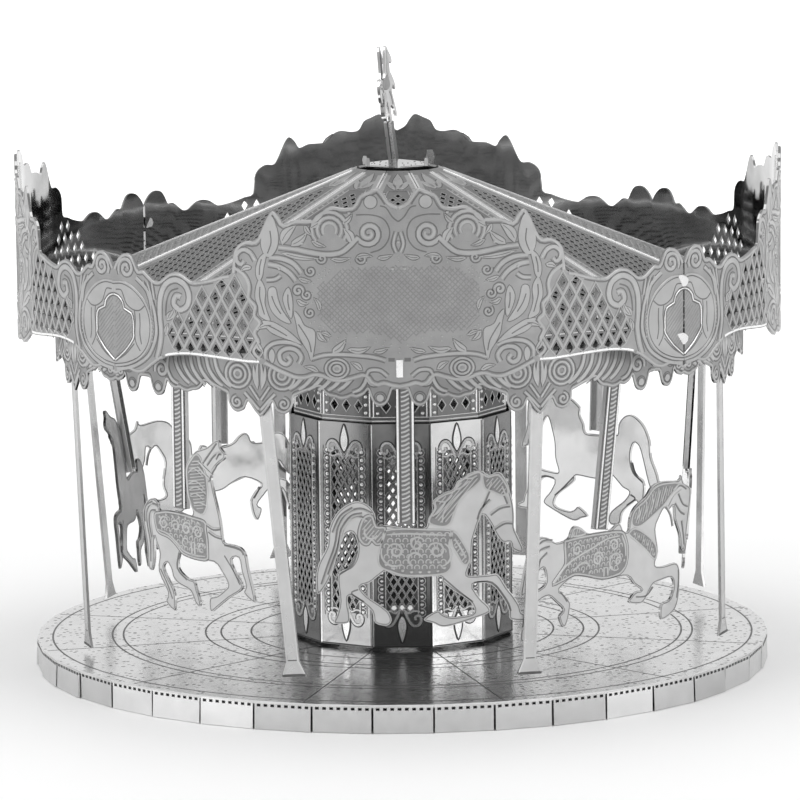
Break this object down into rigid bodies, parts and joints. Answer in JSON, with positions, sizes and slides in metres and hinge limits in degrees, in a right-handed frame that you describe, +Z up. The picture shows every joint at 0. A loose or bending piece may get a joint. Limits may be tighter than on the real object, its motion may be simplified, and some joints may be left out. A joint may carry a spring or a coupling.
{
  "type": "carousel model",
  "caption": "Table-top carousel of folded, etched steel sheet: round deck, pierced column, turning canopy with fascia, pyramid roof, posts and horses on poles.",
  "frame": {"origin": "on the turning axis, at the foot of the deck's skirt", "axes": "+Z up along the turning axis; -Y is the front cartouche; +X is to the viewer's right"},
  "size_m": [0.0828, 0.0828, 0.0672],
  "materials": {
    "deck_sheet": "mirror-bright sheet with etched rings and a fine stipple",
    "column_sheet": "bright sheet with etched, pierced lattice",
    "roof_sheet": "bright sheet with etched, pierced panels",
    "fascia_sheet": "matte etched scrollwork, plain bright inner side",
    "valance_sheet": "matte etched scrollwork",
    "horse_sheet": "matte etched outer side, mirror inner side",
    "strip_sheet": "satin folded strip",
    "pivot_steel": "turned, satin"
  },
  "bodies": {
    "base": {"deck": "deck_sheet", "column_panel_1": "column_sheet", "column_panel_2": "column_sheet", "column_panel_3": "column_sheet", "column_panel_4": "column_sheet", "column_shelf": "column_sheet", "column_frieze": "column_sheet", "column_top_plate": "column_sheet", "pivot_pin": "pivot_steel"},
    "canopy": {"hub_bush": "pivot_steel", "ceiling_plate": "roof_sheet", "roof_half_1": "roof_sheet", "roof_half_2": "roof_sheet", "roof_cap": "roof_sheet", "finial_pole": "strip_sheet", "finial_figure": "horse_sheet", "fascia_strip_1": "fascia_sheet", "fascia_strip_2": "fascia_sheet", "valance_strip_1": "valance_sheet", "valance_strip_2": "valance_sheet", "post_1": "strip_sheet", "post_2": "strip_sheet", "post_3": "strip_sheet", "post_4": "strip_sheet", "post_5": "strip_sheet", "post_6": "strip_sheet", "post_7": "strip_sheet", "post_8": "strip_sheet", "horse_1": "horse_sheet", "horse_2": "horse_sheet", "horse_3": "horse_sheet", "horse_4": "horse_sheet", "horse_5": "horse_sheet", "horse_6": "horse_sheet", "horse_7": "horse_sheet", "horse_8": "horse_sheet", "pole_1": "strip_sheet", "pole_2": "strip_sheet", "pole_3": "strip_sheet", "pole_4": "strip_sheet", "pole_5": "strip_sheet", "pole_6": "strip_sheet", "pole_7": "strip_sheet", "pole_8": "strip_sheet"}
  },
  "joints": [
    {"name": "carousel_spin", "type": "hinge", "parent": "base", "child": "canopy", "pos_m": [0, 0, 0.0385], "axis": [0, 0, 1], "continuous": true}
  ]
}
